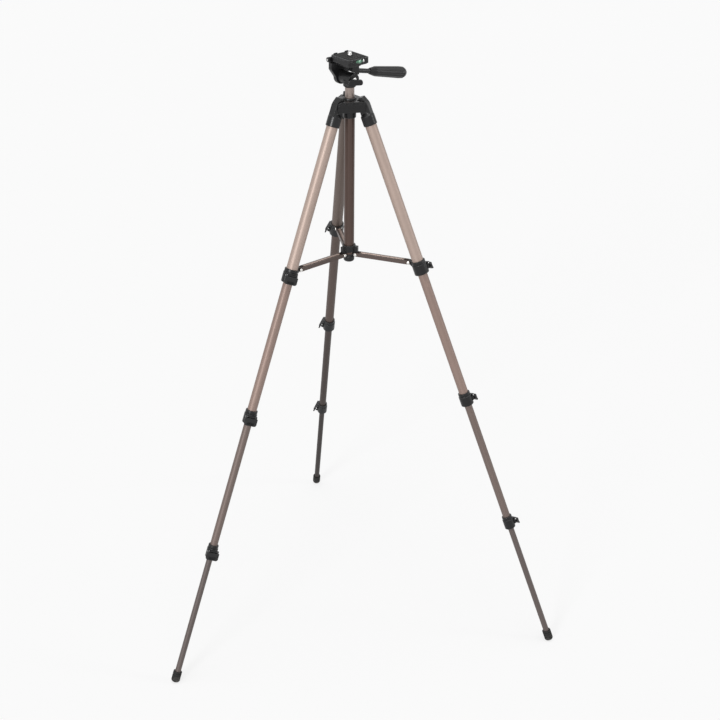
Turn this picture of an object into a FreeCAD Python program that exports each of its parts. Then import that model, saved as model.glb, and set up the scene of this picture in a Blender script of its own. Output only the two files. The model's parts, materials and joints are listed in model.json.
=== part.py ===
import FreeCAD, Part
import math
import os
from FreeCAD import Placement, Rotation, Vector

# A light folding tripod with four-section legs, a spreader and a pan-and-tilt head.
# Millimetres, +Z up. The part stands on z = 0 with its origin under the middle of its box.
# Everything is built about the column's axis first, and moved to the origin on export.

# ---- leg layout ----
LEG_AZIMUTHS = {"left": -150.0, "right": -30.0, "rear": 90.0}
LEG_ANGLE = 20.86            # open leg, from the vertical
FOLDED_ANGLE = 2.0           # folded leg, from the vertical
HINGE_R = 23.5               # leg hinge pin, from the column's axis
FIRST_COLLAR = 274.0         # hinge pin to the middle of the first collar
SECTION_PITCH = 240.5        # one collar to the next
LAST_REACH = 245.0           # last collar to the foot's tip
TUBE_OD = 18.2               # top leg tube
TUBE_WALL = 0.95
TUBE_SLIDE_GAP = 0.45        # between a tube and the one inside it
TUBE_OVERLAP = 35.0          # how far an extended tube stays in the one above
HELD_GAP = 0.05              # between a piece and the seat that holds it
FREE_GAP = 0.4               # between pieces that move past each other

# ---- clamp collars and their levers ----
COLLAR_HEIGHT = 23.0
COLLAR_WALL = 2.9
COLLAR_LIP = 5.0             # narrow ring at a collar's top
COLLAR_GROOVE = 1.2
STOP_GAP = 12.5              # collar to collar when a leg is pushed together
LEVER_TURN = 60.0            # lever's side of the leg, from straight out
LEVER_PIN_R = 1.25
LEVER_PIN_RISE = 2.0         # lever pin above the collar's middle
LEVER_KNUCKLE_R = 2.4
LEVER_THICK = 2.0
LEVER_WIDTH = 21.0
LEVER_DROP = 13.0            # lever pin to the lever's lower end
LEVER_FLARE = 1.8            # how far the finger end stands out
LOBE_WIDTH = 14.0
CHEEK = 2.0

# ---- feet ----
FOOT_WALL = 2.45             # rubber round the last tube
FOOT_LENGTH = 19.5
FOOT_ROUND = 4.0
FOOT_SOLE = 11.0             # rubber under the last tube's end
FOOT_RIBS = 3

# ---- shoulder ----
FACE_R = 20.5                # flat sides, from the column's axis
SHOULDER_HEIGHT = 17.0
CORE_WALL = 3.7              # moulding round the guide tube, in the shoulder
BOSS_WALL = 2.0
BOSS_DROP = 12.5             # boss under the shoulder
COLLAR_RISE = 2.5            # ring on top of the shoulder
TOP_RING_WALL = 2.5
PIN_R = 2.0                  # leg hinge pins
PIN_PLAY = 0.3
TONGUE_WIDTH = 12.5
TONGUE_OUT = 8.8
TONGUE_IN = 7.6
HEEL_RISE = 14.3             # heel of a leg cap above its pin
SLEEVE_WALL = 1.8            # leg cap round its tube
SLEEVE_TOP = 16.0            # hinge pin to the sleeve's shoulder
SLEEVE_BOTTOM = 31.5
MOUTH_LOW, MOUTH_HIGH = 33.0, 66.0   # the pin's ways out of its seat, up from straight in

# ---- centre column ----
GUIDE_OD = 16.6
GUIDE_WALL = 0.7
COLUMN_GAP = 0.3
COLUMN_OVER_PLUG = 19.5      # lowered column above the plug's spigot
COLUMN_SHOWN = 16.5          # bare column between the shoulder and the head
COLUMN_GRIP = 33.0           # column left in the shoulder at full height
COLUMN_WALL = 1.0
COLUMN_SEAT = 3.5            # column into the head's base
PLUG_RIM = 0.45              # how far the plug stands out past the guide tube
PLUG_HEIGHT = 10.8
PLUG_NECK = 2.6
PLUG_SPIGOT = 6.0

# ---- spreader ----
LUG_STAND = 6.1              # brace pivot inside the top tube's wall
LUG_ABOVE = 12.0             # brace pivot above the first collar's middle
HUB_PIVOT_STAND = 4.0        # brace pivot outside the guide tube's wall
HUB_WALL = 2.2
HUB_HEIGHT = 11.5
EAR_WIDTH = 5.8
BRACE_WIDTH = 9.5
BRACE_HEIGHT = 6.4
BRACE_WALL = 1.0
BRACE_CUT = 8.0              # web cut back from each pivot
RIVET_R = 1.5
RIVET_HEAD_R = 2.6
RIVET_HEAD = 1.2

# ---- head ----
HEAD_TURN = 30.0             # the handle's heading, from +X
BASE_R = 10.2
BASE_HEIGHT = 5.4
TURN_GAP = 0.3
TURRET_R = 11.2
TILT_RISE = 7.0              # tilt axis above the turret's foot
BARREL_R = 9.8
BARREL_NEAR = 11.0           # barrel from the axis to the knob's side
BARREL_FAR = 17.0            # barrel from the axis to the arm's side
TILT_BOLT_R = 3.0
TILT_BOLT_HEAD_R = 4.0
TILT_BOLT_HEAD = 2.2
ARM_THICK = 7.2
ARM_BACK = 22.0               # arm's edges, from the tilt axis
ARM_FRONT = 13.0
ARM_RIM = 2.7                # arm's round foot, past the barrel
ARM_WAIST = 13.5             # height over the tilt axis where the arm is widest
SHELF_HALF = 12.0
SHELF_REACH = 12.0
SHELF_THICK = 5.4
PLATFORM_RISE = 26.0         # platform's underside above the tilt axis
PLATFORM_LONG = 45.0
PLATFORM_WIDE = 39.0
PLATFORM_BODY = 6.7
PLATE_THICK = 3.0
CORNER_R = 3.0
FLIP_R = 3.8                 # knuckles of the platform's hinge
FLIP_SPLITS = (-9.0, 5.0)    # the platform's knuckle, between the arm's two
FLIP_END = 14.0
FLIP_OVERHANG = 2.0          # hinge past the arm's back edge
FLIP_RISE = 2.1              # hinge line above the platform's underside
FLIP_PIN_R = 1.6
PAD_MARGIN = 3.0
PAD_THICK = 1.6
PAD_PROUD = 0.6
SCREW_R = 3.175              # quarter-inch camera screw
SCREW_SHANK_R = 2.7          # thinner below the thread, so the screw can't fall out
SCREW_STANDS = 5.4
SCREW_HEAD_R = 8.4
SCREW_HEAD = 2.2
VIAL_R = 2.4
VIAL_LENGTH = 19.0
VIAL_SHIFT = 5.0
KNOB_TURN = -122.0           # pan lock's side of the head, from the handle
KNOB_DROP = 1.2              # knob's line below the tilt axis
KNOB_STAND = 3.8             # knob past the barrel's end
KNOB_R = 5.0
KNOB_LENGTH = 7.0
KNOB_STEM_R = 2.4
STEM_STAND = 9.0             # stem's tip, from the tilt bolt
WING_LENGTH = 17.5
WING_THICK = 4.6
WING_HEIGHT = 8.4
HANDLE_DROP = 12.1           # the handle's slope, down from level
HANDLE_OVER = 3.2            # the handle's line above the barrel
BOSS_FACE = 14.0             # handle boss, from the axis
SHAFT_R = 3.7
STUB_R = 3.0
STUB_LENGTH = 4.5
SHAFT_LENGTH = 26.0          # bare shaft, from the boss to the grip
SHAFT_IN_GRIP = 22.0
GRIP_LENGTH = 75.0
GRIP_NECK_R = 6.6
GRIP_R = 9.4
GRIP_FLUTES = 10
FLUTE_R = 1.9

X, Y, Z = Vector(1, 0, 0), Vector(0, 1, 0), Vector(0, 0, 1)


# ---- shapes ----
def box(x0, x1, y0, y1, z0, z1):
    return Part.makeBox(x1 - x0, y1 - y0, z1 - z0, Vector(x0, y0, z0))


def disc(r, z0, z1, x=0.0, y=0.0):
    return Part.makeCylinder(r, z1 - z0, Vector(x, y, z0), Z)


def tube(outer, inner, z0, z1):
    return disc(outer, z0, z1).cut(disc(inner, z0 - 1, z1 + 1))


def rod(r, start, end):
    return Part.makeCylinder(r, (end - start).Length, start, end - start)


def cross_rod(r, x, z, y0, y1):
    """A round bar along Y."""
    return Part.makeCylinder(r, y1 - y0, Vector(x, y0, z), Y)


def plate(points, y0, y1):
    """An outline of (x, z) points, drawn out along Y."""
    wire = Part.makePolygon([Vector(x, y0, z) for x, z in points + points[:1]])
    return Part.Face(wire).extrude(Vector(0, y1 - y0, 0))


def turned(points):
    """An outline of (radius, height) points, turned about Z."""
    wire = Part.makePolygon([Vector(r, 0, z) for r, z in points + points[:1]])
    return Part.Face(wire).revolve(Vector(), Z, 360)


def round_block(half_x, half_y, corner, z0, z1):
    block = box(-half_x, half_x, -half_y, half_y, z0, z1)
    uprights = [e for e in block.Edges if abs(e.tangentAt(e.FirstParameter).z) > 0.9]
    return block.makeFillet(corner, uprights)


def join(first, *others):
    return first.multiFuse(list(others)).removeSplitter()


def at(shape, place):
    placed = shape.copy()
    placed.Placement = place.multiply(placed.Placement)
    return placed


def polar(r, degrees, z=0.0):
    a = math.radians(degrees)
    return Vector(r * math.cos(a), r * math.sin(a), z)


def turn(degrees):
    return Placement(Vector(), Rotation(Z, degrees))


# ---- sizes that follow from the ones above ----
SIN, COS = math.sin(math.radians(LEG_ANGLE)), math.cos(math.radians(LEG_ANGLE))
COLLARS = [FIRST_COLLAR + k * SECTION_PITCH for k in range(3)]
LEG_LENGTH = COLLARS[-1] + LAST_REACH
TUBES = [TUBE_OD / 2 - k * (TUBE_WALL + TUBE_SLIDE_GAP) for k in range(4)]
FOOT_R = TUBES[3] + FOOT_WALL
PIN_Z = (LEG_LENGTH - FOOT_ROUND) * COS + (FOOT_R - FOOT_ROUND) * SIN + FOOT_ROUND
SLEEVE_R = TUBES[0] + SLEEVE_WALL
LUG_IN = TUBES[0] + LUG_STAND
HUB_PIVOT_R = GUIDE_OD / 2 + HUB_PIVOT_STAND
CORE_R, BOSS_R = GUIDE_OD / 2 + CORE_WALL, GUIDE_OD / 2 + BOSS_WALL
TOP_RING_R, PLUG_R = GUIDE_OD / 2 + TOP_RING_WALL, GUIDE_OD / 2 + PLUG_RIM
COLLAR_RADII = [r + COLLAR_WALL for r in TUBES[:3]]
CAP_END = SLEEVE_TOP + 1.0
TRAVELS = [
    min(SECTION_PITCH - COLLAR_HEIGHT - STOP_GAP, FIRST_COLLAR - TUBE_OVERLAP - CAP_END - STOP_GAP),
    SECTION_PITCH - COLLAR_HEIGHT - STOP_GAP,
    min(SECTION_PITCH - STOP_GAP, LAST_REACH - FOOT_LENGTH) - COLLAR_HEIGHT / 2 - 0.75 * STOP_GAP,
]
LUG_Z = -FIRST_COLLAR + LUG_ABOVE                   # along the leg, from its pin
BRACE_R = HINGE_R - LUG_IN * COS - LUG_Z * SIN      # the brace's outer pivot
BRACE_Z = PIN_Z - LUG_IN * SIN + LUG_Z * COS
BRACE_LENGTH = BRACE_R - HUB_PIVOT_R
FOLD_SIN, FOLD_COS = math.sin(math.radians(FOLDED_ANGLE)), math.cos(math.radians(FOLDED_ANGLE))
FOLDED_R = HINGE_R - LUG_IN * FOLD_COS - LUG_Z * FOLD_SIN
FOLDED_Z = PIN_Z - LUG_IN * FOLD_SIN + LUG_Z * FOLD_COS
BRACE_FALL = math.sqrt(BRACE_LENGTH ** 2 - (FOLDED_R - HUB_PIVOT_R) ** 2)
HUB_TRAVEL = FOLDED_Z + BRACE_FALL - BRACE_Z
BRACE_FOLD = math.degrees(math.atan2(BRACE_FALL, FOLDED_R - HUB_PIVOT_R))
EAR_HALF = (FACE_R - HINGE_R * 0.5) / math.sin(math.radians(60))   # pin's half-length
ARC_CENTRE = HINGE_R * math.sin(math.radians(60)) - EAR_HALF * 0.5  # along a flat side
SHOULDER_TOP = PIN_Z + SHOULDER_HEIGHT / 2
SHOULDER_FOOT = PIN_Z - SHOULDER_HEIGHT / 2
GUIDE_BORE = GUIDE_OD / 2 - GUIDE_WALL
COLUMN_R = GUIDE_BORE - COLUMN_GAP
GUIDE_FOOT = BRACE_Z + 0.3
COLUMN_TOP = SHOULDER_TOP + COLLAR_RISE + COLUMN_SHOWN
COLUMN_FOOT = GUIDE_FOOT + PLUG_SPIGOT + COLUMN_OVER_PLUG
COLUMN_TRAVEL = SHOULDER_TOP - COLUMN_GRIP - COLUMN_FOOT
BASE_TOP = COLUMN_TOP + BASE_HEIGHT
TURRET_FOOT = BASE_TOP + TURN_GAP
TILT_Z = TURRET_FOOT + TILT_RISE
ARM_FOOT_R, HANDLE_RISE = BARREL_R + ARM_RIM, BARREL_R + HANDLE_OVER
ARM_IN = BARREL_FAR + TURN_GAP
ARM_OUT = ARM_IN + ARM_THICK
PLATFORM_Z = TILT_Z + PLATFORM_RISE
PLATE_Z = PLATFORM_Z + PLATFORM_BODY
PLATE_TOP = PLATE_Z + PLATE_THICK
FLIP_Y = ARM_OUT - 0.2
FLIP_Z = PLATFORM_Z + FLIP_RISE
KNOB_Z = TILT_Z - KNOB_DROP
KNOB_START = BARREL_NEAR + KNOB_STAND
STEM_START = TILT_BOLT_R + STEM_STAND
FLIP_START = -ARM_BACK - FLIP_OVERHANG
ARM_KNUCKLES = [(FLIP_START, FLIP_SPLITS[0]), (FLIP_SPLITS[1], FLIP_END)]
HANDLE_WAY = Vector(math.cos(math.radians(HANDLE_DROP)), 0, -math.sin(math.radians(HANDLE_DROP)))
HANDLE_START = Vector(BOSS_FACE, 0, TILT_Z + HANDLE_RISE + BOSS_FACE * HANDLE_WAY.z / HANDLE_WAY.x)


# ---- legs: built along the leg, hinge pin at the origin, +Z up the leg, +X outwards ----
def leg_cap():
    """The moulded top of a leg. Its seat for the pin is open on the inner, upper side."""
    sleeve = turned([
        (TUBES[0] + HELD_GAP, -SLEEVE_BOTTOM), (SLEEVE_R, -SLEEVE_BOTTOM), (SLEEVE_R, -SLEEVE_TOP),
        (TONGUE_WIDTH / 2 + 0.6, -SLEEVE_TOP + 4.6), (0, -SLEEVE_TOP + 4.6), (0, -CAP_END),
        (TUBES[0] + HELD_GAP, -CAP_END),
    ])
    tongue = plate([
        (-TONGUE_IN, -SLEEVE_TOP + 0.5), (TONGUE_OUT, -SLEEVE_TOP + 0.5), (TONGUE_OUT, 1.5),
        (TONGUE_OUT - 1.0, 5.0), (3.8, HEEL_RISE - 0.4), (-1.8, HEEL_RISE), (-TONGUE_IN, 3.0),
    ], -TONGUE_WIDTH / 2, TONGUE_WIDTH / 2)
    r, far = PIN_R + PIN_PLAY, 3 * HEEL_RISE
    low, high = math.radians(MOUTH_LOW), math.radians(MOUTH_HIGH)
    under = (-r * math.sin(low), -r * math.cos(low))
    over = (r * math.sin(high), r * math.cos(high))
    mouth = plate([
        under, (under[0] - far * math.cos(low), under[1] + far * math.sin(low)),
        (over[0] - far * math.cos(high), over[1] + far * math.sin(high)), over,
    ], -TONGUE_WIDTH, TONGUE_WIDTH)
    seat = cross_rod(r, 0, 0, -TONGUE_WIDTH, TONGUE_WIDTH)
    return join(sleeve, tongue).cut(mouth).cut(seat)


def leg_tube(k):
    top = -CAP_END - 0.3 if k == 0 else -COLLARS[k - 1] + TUBE_OVERLAP
    foot = -COLLARS[k] - 2.0 if k < 3 else -LEG_LENGTH + FOOT_SOLE
    return tube(TUBES[k], TUBES[k] - TUBE_WALL, foot, top)


def lever_x(k):
    """How far a lever's pin stands from the leg's axis."""
    return COLLAR_RADII[k] + 0.2


def collar(k):
    """A clamp collar about its own middle, with its lever's lobe towards +X."""
    r, half = COLLAR_RADII[k], COLLAR_HEIGHT / 2
    body = turned([
        (TUBES[k + 1] + FREE_GAP, -half), (r - 0.8, -half), (r, -half + 0.8),
        (r, half - COLLAR_LIP - COLLAR_GROOVE),
        (r - COLLAR_GROOVE, half - COLLAR_LIP - COLLAR_GROOVE), (r - COLLAR_GROOVE, half - COLLAR_LIP),
        (r - 0.7, half - COLLAR_LIP), (r - 0.7, half - 0.6), (r - 1.3, half), (TUBES[k] + HELD_GAP, half),
        (TUBES[k] + HELD_GAP, -2.0), (TUBES[k + 1] + FREE_GAP, -2.0),
    ])
    x, z = lever_x(k), LEVER_PIN_RISE
    wide = LOBE_WIDTH / 2
    lobe = join(
        box(TUBES[k] + 1.2, x + LEVER_KNUCKLE_R - 0.3, -wide, wide, -7.5, z),
        box(TUBES[k] + 1.2, x, -wide, wide, z - 1, z + LEVER_KNUCKLE_R),
        cross_rod(LEVER_KNUCKLE_R, x, z, -wide, wide),
    )
    return join(body, lobe).cut(cross_rod(LEVER_PIN_R + HELD_GAP, x, z, -2 * wide, 2 * wide))


def lever(k):
    """A flip lever: two cheeks on the pin and a flap whose lower end stands out for a finger."""
    x, z = lever_x(k), LEVER_PIN_RISE
    near = x + LEVER_KNUCKLE_R + FREE_GAP
    far, half = near + LEVER_THICK, LEVER_WIDTH / 2
    flap = plate([
        (near, z - 0.8), (far, z - 0.8), (far, z - 0.62 * LEVER_DROP), (far + LEVER_FLARE, z - LEVER_DROP),
        (near + LEVER_FLARE + 0.5, z - LEVER_DROP), (near, z - 0.66 * LEVER_DROP),
    ], -half, half)
    outline = box(near - 1, far + 2 * LEVER_FLARE, -half, half, z - LEVER_DROP, z + LEVER_KNUCKLE_R)
    lower = [e for e in outline.Edges if abs(e.tangentAt(0).x) > 0.9 and e.CenterOfMass.z < z - 1]
    flap = flap.common(outline.makeFillet(4.0, lower))
    inner = LOBE_WIDTH / 2 + FREE_GAP
    cheeks = []
    for side in (-1, 1):
        y0, y1 = sorted((side * inner, side * (inner + CHEEK)))
        cheeks += [
            cross_rod(LEVER_KNUCKLE_R, x, z, y0, y1),
            plate([(x, z + LEVER_KNUCKLE_R), (x, z - LEVER_KNUCKLE_R), (near + 1, z - 5.5),
                   (near + 1, z - 0.8)], y0, y1),
        ]
    pin_hole = cross_rod(LEVER_PIN_R + HELD_GAP / 2, x, z, -half, half)
    pin = cross_rod(LEVER_PIN_R, x, z, -inner - CHEEK, inner + CHEEK)
    return [join(flap, *cheeks).cut(pin_hole), pin]


def brace_lug():
    """The ear on the first collar that carries a brace."""
    half, r = EAR_WIDTH / 2, BRACE_HEIGHT / 2
    x, z = -LUG_IN, LUG_Z
    ear = join(
        cross_rod(r, x, z, -half, half),
        plate([(x, z + r), (x, z - r), (-TUBES[0] - 1.0, z - 11.0), (-TUBES[0] - 1.0, z - 1.0)], -half, half),
    )
    return ear.cut(cross_rod(RIVET_R + HELD_GAP / 2, x, z, -BRACE_WIDTH, BRACE_WIDTH))


def rivet(x, z):
    """A rivet along Y with a round head each side of a brace."""
    half = BRACE_WIDTH / 2 + 0.1
    shank = cross_rod(RIVET_R, x, z, -half - 0.2, half + 0.2)
    heads = [cross_rod(RIVET_HEAD_R, x, z, *sorted((s * half, s * (half + RIVET_HEAD)))) for s in (-1, 1)]
    heads = [h.makeFillet(RIVET_HEAD * 0.6, [rim(h, s)]) for h, s in zip(heads, (-1, 1))]
    return join(shank, *heads)


def rim(bar, side):
    """The outer circle of a round bar along Y."""
    circles = [e for e in bar.Edges if hasattr(e.Curve, "Radius")]
    return max(circles, key=lambda e: side * e.CenterOfMass.y)


def foot():
    """A ribbed rubber foot with a blind bore for the last tube."""
    top, tip = -LEG_LENGTH + FOOT_LENGTH, -LEG_LENGTH
    body = disc(FOOT_R, tip, top)
    ends = {e.CenterOfMass.z: e for e in body.Edges if hasattr(e.Curve, "Radius")}
    body = body.makeFillet(FOOT_ROUND, [ends[min(ends)]])
    rim_edge = max((e for e in body.Edges if hasattr(e.Curve, "Radius")), key=lambda e: e.CenterOfMass.z)
    body = body.makeFillet(1.0, [rim_edge])
    pitch = (FOOT_LENGTH - FOOT_ROUND - 3.0) / FOOT_RIBS
    for k in range(FOOT_RIBS):
        z = top - 2.4 - k * pitch
        body = body.cut(tube(FOOT_R + 1, FOOT_R - 0.6, z - 1.2, z))
    return body.cut(disc(TUBES[3] + HELD_GAP, -LEG_LENGTH + FOOT_SOLE - 0.3, top + 1))


# ---- root: shoulder, guide tube, plug ----
def shoulder():
    half = SHOULDER_HEIGHT / 2
    body = disc(CORE_R, SHOULDER_FOOT, SHOULDER_TOP)
    for azimuth in LEG_AZIMUTHS.values():
        side = box(-ARC_CENTRE, ARC_CENTRE, 0, FACE_R, PIN_Z - half, PIN_Z + half)
        ends = [cross_rod(half, s * ARC_CENTRE, PIN_Z, 0, FACE_R) for s in (-1, 1)]
        body = body.fuse(at(join(side, *ends), turn(azimuth + 60 - 90)))
    body = join(
        body,
        disc(TOP_RING_R, SHOULDER_TOP - 1, SHOULDER_TOP + COLLAR_RISE),
        disc(BOSS_R, SHOULDER_FOOT - BOSS_DROP, SHOULDER_FOOT + 1),
    )
    slot_in, slot = HINGE_R - TONGUE_IN - 1.6, TONGUE_WIDTH / 2 + FREE_GAP
    for azimuth in LEG_AZIMUTHS.values():
        place = turn(azimuth)
        gap = box(slot_in, 3 * FACE_R, -slot, slot, SHOULDER_FOOT - 1, SHOULDER_TOP + 1)
        hole = cross_rod(PIN_R + HELD_GAP / 2, HINGE_R, PIN_Z, -2 * EAR_HALF, 2 * EAR_HALF)
        body = body.cut(at(gap, place)).cut(at(hole, place))
    body = body.cut(disc(GUIDE_OD / 2 + HELD_GAP, SHOULDER_FOOT - BOSS_DROP - 1, SHOULDER_TOP))
    return body.cut(disc(COLUMN_R + COLUMN_GAP, SHOULDER_TOP - 1, SHOULDER_TOP + COLLAR_RISE + 1))


def hinge_pin():
    end = EAR_HALF - 0.6
    return cross_rod(PIN_R, HINGE_R, PIN_Z, -end, end)


def guide_tube():
    return tube(GUIDE_OD / 2, GUIDE_BORE, GUIDE_FOOT, SHOULDER_TOP - 0.5)


def end_plug():
    low = GUIDE_FOOT - PLUG_NECK - PLUG_HEIGHT
    bulb = disc(PLUG_R, low, low + PLUG_HEIGHT)
    bulb = bulb.makeFillet(3.0, [e for e in bulb.Edges if hasattr(e.Curve, "Radius")])
    neck = disc(PLUG_R - 1.3, low + PLUG_HEIGHT - 1, GUIDE_FOOT - HELD_GAP)
    spigot = disc(GUIDE_BORE - HELD_GAP, GUIDE_FOOT - 1, GUIDE_FOOT + PLUG_SPIGOT)
    return join(bulb, neck, spigot)


# ---- spreader ----
def spreader_hub():
    low = BRACE_Z + BRACE_HEIGHT / 2 + 0.6
    body = disc(GUIDE_OD / 2 + COLUMN_GAP + HUB_WALL, low, low + HUB_HEIGHT)
    r, half = BRACE_HEIGHT / 2, EAR_WIDTH / 2
    for azimuth in LEG_AZIMUTHS.values():
        ear = join(
            cross_rod(r, HUB_PIVOT_R, BRACE_Z, -half, half),
            box(HUB_PIVOT_R - r, HUB_PIVOT_R + r, -half, half, BRACE_Z, low + HUB_HEIGHT - 1.5),
        )
        ear = ear.cut(cross_rod(RIVET_R + HELD_GAP / 2, HUB_PIVOT_R, BRACE_Z, -2 * half, 2 * half))
        body = body.fuse(at(ear, turn(azimuth)))
    return body.removeSplitter().cut(disc(GUIDE_OD / 2 + COLUMN_GAP, BRACE_Z - 9, low + HUB_HEIGHT + 1))


def brace():
    """A channel, open below, whose sides run on past the web and straddle an ear at each end."""
    half, r, end = BRACE_WIDTH / 2, BRACE_HEIGHT / 2, HUB_PIVOT_R + BRACE_LENGTH
    bar = join(
        box(HUB_PIVOT_R, end, -half, half, BRACE_Z - r, BRACE_Z + r),
        cross_rod(r, HUB_PIVOT_R, BRACE_Z, -half, half), cross_rod(r, end, BRACE_Z, -half, half),
    )
    inside = half - BRACE_WALL
    under_web = BRACE_Z + r - BRACE_WALL
    bar = bar.cut(box(HUB_PIVOT_R - 2 * r, end + 2 * r, -inside, inside, BRACE_Z - 2 * r, under_web))
    for x0, x1 in ((HUB_PIVOT_R - 2 * r, HUB_PIVOT_R + BRACE_CUT), (end - BRACE_CUT, end + 2 * r)):
        bar = bar.cut(box(x0, x1, -inside, inside, BRACE_Z - 2 * r, BRACE_Z + 2 * r))
    for x in (HUB_PIVOT_R, end):
        bar = bar.cut(cross_rod(RIVET_R + HELD_GAP, x, BRACE_Z, -2 * half, 2 * half))
    return bar


# ---- column and head: the head is built with its handle towards +X and its arm on the +Y side ----
def column_tube():
    return tube(COLUMN_R, COLUMN_R - COLUMN_WALL, COLUMN_FOOT, COLUMN_TOP + COLUMN_SEAT)


def head_base():
    skirt = turned([
        (0, COLUMN_TOP), (BASE_R - 1.8, COLUMN_TOP), (BASE_R, COLUMN_TOP + 1.8),
        (BASE_R, BASE_TOP), (0, BASE_TOP),
    ])
    bore = COLUMN_R - COLUMN_WALL - HELD_GAP
    return skirt.cut(tube(COLUMN_R + HELD_GAP, bore, COLUMN_TOP - 1, COLUMN_TOP + COLUMN_SEAT + 0.2))


def knob_line(distance):
    return polar(distance, KNOB_TURN, KNOB_Z)


def handle_point(distance):
    return HANDLE_START + HANDLE_WAY * distance


def flip_rod(r, x0, x1):
    """A round bar on the platform's hinge line."""
    return Part.makeCylinder(r, x1 - x0, Vector(x0, FLIP_Y, FLIP_Z), X)


def pan_body():
    body = join(
        disc(TURRET_R, TURRET_FOOT, TILT_Z - 1),
        cross_rod(BARREL_R, 0, TILT_Z, -BARREL_NEAR, BARREL_FAR),
    )
    bolt = cross_rod(TILT_BOLT_R + HELD_GAP, 0, TILT_Z, -BARREL_NEAR - 1, BARREL_FAR + 1)
    head = cross_rod(TILT_BOLT_HEAD_R + FREE_GAP, 0, TILT_Z, -BARREL_NEAR - 1, -BARREL_NEAR + 1.0)
    stem = rod(KNOB_STEM_R + HELD_GAP, knob_line(STEM_START - TURN_GAP), knob_line(3 * KNOB_START))
    relief = rod(KNOB_R + FREE_GAP, knob_line(KNOB_START - 1.2), knob_line(3 * KNOB_START))
    below = disc(3 * BARREL_FAR, TILT_Z - 2 * BARREL_R, TURRET_FOOT)
    return body.cut(bolt).cut(head).cut(stem).cut(relief).cut(below)


def pan_lock_knob():
    """A thumb knob with one wing, on a stem that clamps the turret."""
    start, end = knob_line(KNOB_START), knob_line(KNOB_START + KNOB_LENGTH)
    hub = rod(KNOB_R, start, end)
    outer = max((e for e in hub.Edges if hasattr(e.Curve, "Radius")), key=lambda e: e.CenterOfMass.Length)
    hub = hub.makeFillet(1.6, [outer])
    stem = rod(KNOB_STEM_R, knob_line(STEM_START), knob_line(KNOB_START + 1))
    wing = box(0, WING_LENGTH, -WING_THICK / 2, WING_THICK / 2, -WING_HEIGHT / 2, WING_HEIGHT / 2)
    tips = [e for e in wing.Edges if abs(e.tangentAt(0).y) > 0.9 and e.CenterOfMass.x > 1]
    wing = wing.makeFillet(WING_HEIGHT * 0.42, tips)
    place = Placement(knob_line(KNOB_START + KNOB_LENGTH - WING_THICK / 2 - 0.6), Rotation(Z, KNOB_TURN + 90))
    return join(hub, stem, at(wing, place))


def tilt_bracket():
    """The arm at the barrel's far end, the shelf it carries over the barrel, and the handle's boss."""
    arm = join(
        cross_rod(ARM_FOOT_R, 0, TILT_Z, ARM_IN, ARM_OUT),
        plate([
            (-ARM_FOOT_R, TILT_Z), (-ARM_BACK, TILT_Z + ARM_WAIST), (-ARM_BACK, FLIP_Z - FLIP_R - 1.2),
            (ARM_FRONT, FLIP_Z - FLIP_R - 1.2), (ARM_FRONT, TILT_Z),
        ], ARM_IN, ARM_OUT),
    )
    shelf_top = PLATFORM_Z - TURN_GAP
    shelf = box(-SHELF_HALF, SHELF_HALF, -SHELF_REACH, ARM_IN + 1, shelf_top - SHELF_THICK, shelf_top)
    boss = box(2.0, BOSS_FACE, -SHAFT_R - 2.3, SHAFT_R + 2.3, TILT_Z + 5, shelf_top - 1)
    boss = boss.cut(cross_rod(BARREL_R + 1.0, 0, TILT_Z, -2 * BARREL_NEAR, 2 * BARREL_NEAR))
    knuckles = []
    for x0, x1 in ARM_KNUCKLES:
        neck0, neck1 = max(x0, -ARM_BACK), min(x1, ARM_FRONT) - FREE_GAP
        knuckles += [
            flip_rod(FLIP_R, x0, x1 - FREE_GAP),
            box(neck0, neck1, FLIP_Y - FLIP_R, ARM_OUT, FLIP_Z - FLIP_R - 2, FLIP_Z),
        ]
    solid = join(arm, shelf, boss, *knuckles)
    sweep = flip_rod(FLIP_R + FREE_GAP, FLIP_SPLITS[0] - FREE_GAP, FLIP_SPLITS[1])
    bolt = cross_rod(TILT_BOLT_R + HELD_GAP / 2, 0, TILT_Z, ARM_IN - 1, ARM_OUT - 2.0)
    pin = flip_rod(FLIP_PIN_R + HELD_GAP / 2, FLIP_START - 1, FLIP_END + 1)
    stub = rod(STUB_R + HELD_GAP, handle_point(-STUB_LENGTH), handle_point(STUB_LENGTH))
    return solid.cut(sweep).cut(bolt).cut(pin).cut(stub)


def tilt_bolt():
    """The bolt the head tilts on, tight in the arm and free in the barrel."""
    shank = cross_rod(TILT_BOLT_R, 0, TILT_Z, -BARREL_NEAR, ARM_OUT - 2.2)
    head = cross_rod(TILT_BOLT_HEAD_R, 0, TILT_Z, -BARREL_NEAR + 1.0 - TILT_BOLT_HEAD, -BARREL_NEAR + 0.7)
    return join(shank, head.makeFillet(0.9, [rim(head, -1)]))


def flip_pin():
    return flip_rod(FLIP_PIN_R, FLIP_START - 0.6, FLIP_END + 0.2)


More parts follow.
